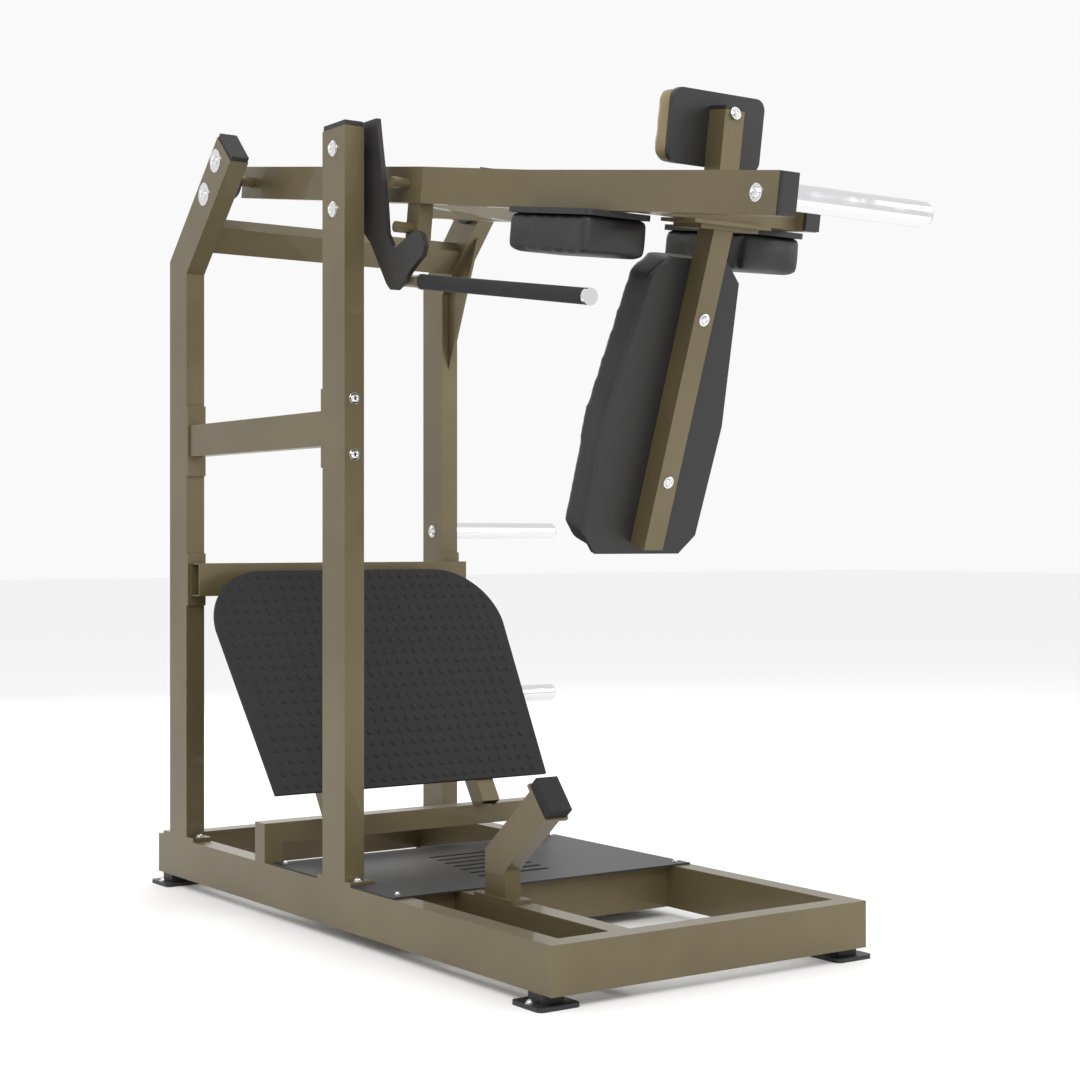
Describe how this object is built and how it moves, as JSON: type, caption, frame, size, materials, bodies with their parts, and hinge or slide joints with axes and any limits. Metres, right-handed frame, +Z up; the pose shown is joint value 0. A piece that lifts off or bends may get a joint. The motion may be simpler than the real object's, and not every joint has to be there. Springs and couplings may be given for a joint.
{
  "type": "hack squat machine",
  "caption": "Lever hack squat machine with floor frame, rear uprights, swinging padded lever, safety hook, inclined foot plate and weight horns.",
  "frame": {"origin": "middle of the overall box, on the floor", "axes": "+X to the right, +Y towards the rear uprights, +Z up"},
  "size_m": [1.217, 2.2454, 1.9148],
  "materials": {
    "gold_paint": "fine orange peel, metallic bronze gold",
    "black_paint": "satin",
    "chrome": "polished",
    "bronze_leather": "fine grain",
    "leather": "fine grain",
    "rubber": "matt"
  },
  "bodies": {
    "frame": {"bearing_left": "black_paint", "bearing_right": "black_paint", "brace_left": "gold_paint", "deck_plate": "black_paint", "foot_front_left": "black_paint", "foot_front_right": "black_paint", "foot_plate": "rubber", "foot_rear_left": "black_paint", "foot_rear_right": "black_paint", "hook_pivot_spacer": "chrome", "post_cap": "black_paint", "post_left": "gold_paint", "rail_cross": "gold_paint", "rail_front": "gold_paint", "rail_inner": "gold_paint", "rail_left": "gold_paint", "rail_rear": "gold_paint", "rail_right": "gold_paint", "ramp_beam": "gold_paint", "ramp_portal": "gold_paint", "ramp_support_left": "gold_paint", "ramp_support_right": "gold_paint", "rib_right": "gold_paint", "stop_bumper": "rubber", "stop_post": "gold_paint", "storage_horn_lower": "chrome", "storage_horn_upper": "chrome", "upper_cross_tube": "gold_paint", "upright_cap_left": "black_paint", "upright_cap_right": "black_paint", "upright_left": "gold_paint", "upright_right": "gold_paint"},
    "lever": {"arm_cap_left": "black_paint", "arm_cap_right": "black_paint", "arm_cross_tube": "gold_paint", "arm_left": "gold_paint", "arm_right_front": "gold_paint", "arm_right_rear": "gold_paint", "back_board": "black_paint", "back_bracket": "gold_paint", "back_cushion": "leather", "back_tube": "gold_paint", "head_board": "black_paint", "head_cushion": "bronze_leather", "head_tube": "gold_paint", "head_tube_cap": "black_paint", "lever_horn": "chrome", "peg_lower": "gold_paint", "peg_stub": "gold_paint", "peg_upper": "gold_paint", "pivot_pin_left": "gold_paint", "pivot_pin_right": "gold_paint", "shoulder_board_left": "black_paint", "shoulder_board_right": "black_paint", "shoulder_pad_left": "leather", "shoulder_pad_right": "leather"},
    "hook": {"hook_grip": "rubber", "hook_plate": "black_paint", "hook_ring_front": "chrome", "hook_rod": "gold_paint"}
  },
  "joints": [
    {"name": "lever_pivot", "type": "hinge", "parent": "frame", "child": "lever", "pos_m": [-0.5835, 0.8167, 1.812], "axis": [1, 0, 0], "range_deg": [0, 38]},
    {"name": "hook_pivot", "type": "hinge", "parent": "frame", "child": "hook", "pos_m": [-0.5835, 0.1817, 1.783], "axis": [1, 0, 0], "range_deg": [0, 25]}
  ]
}
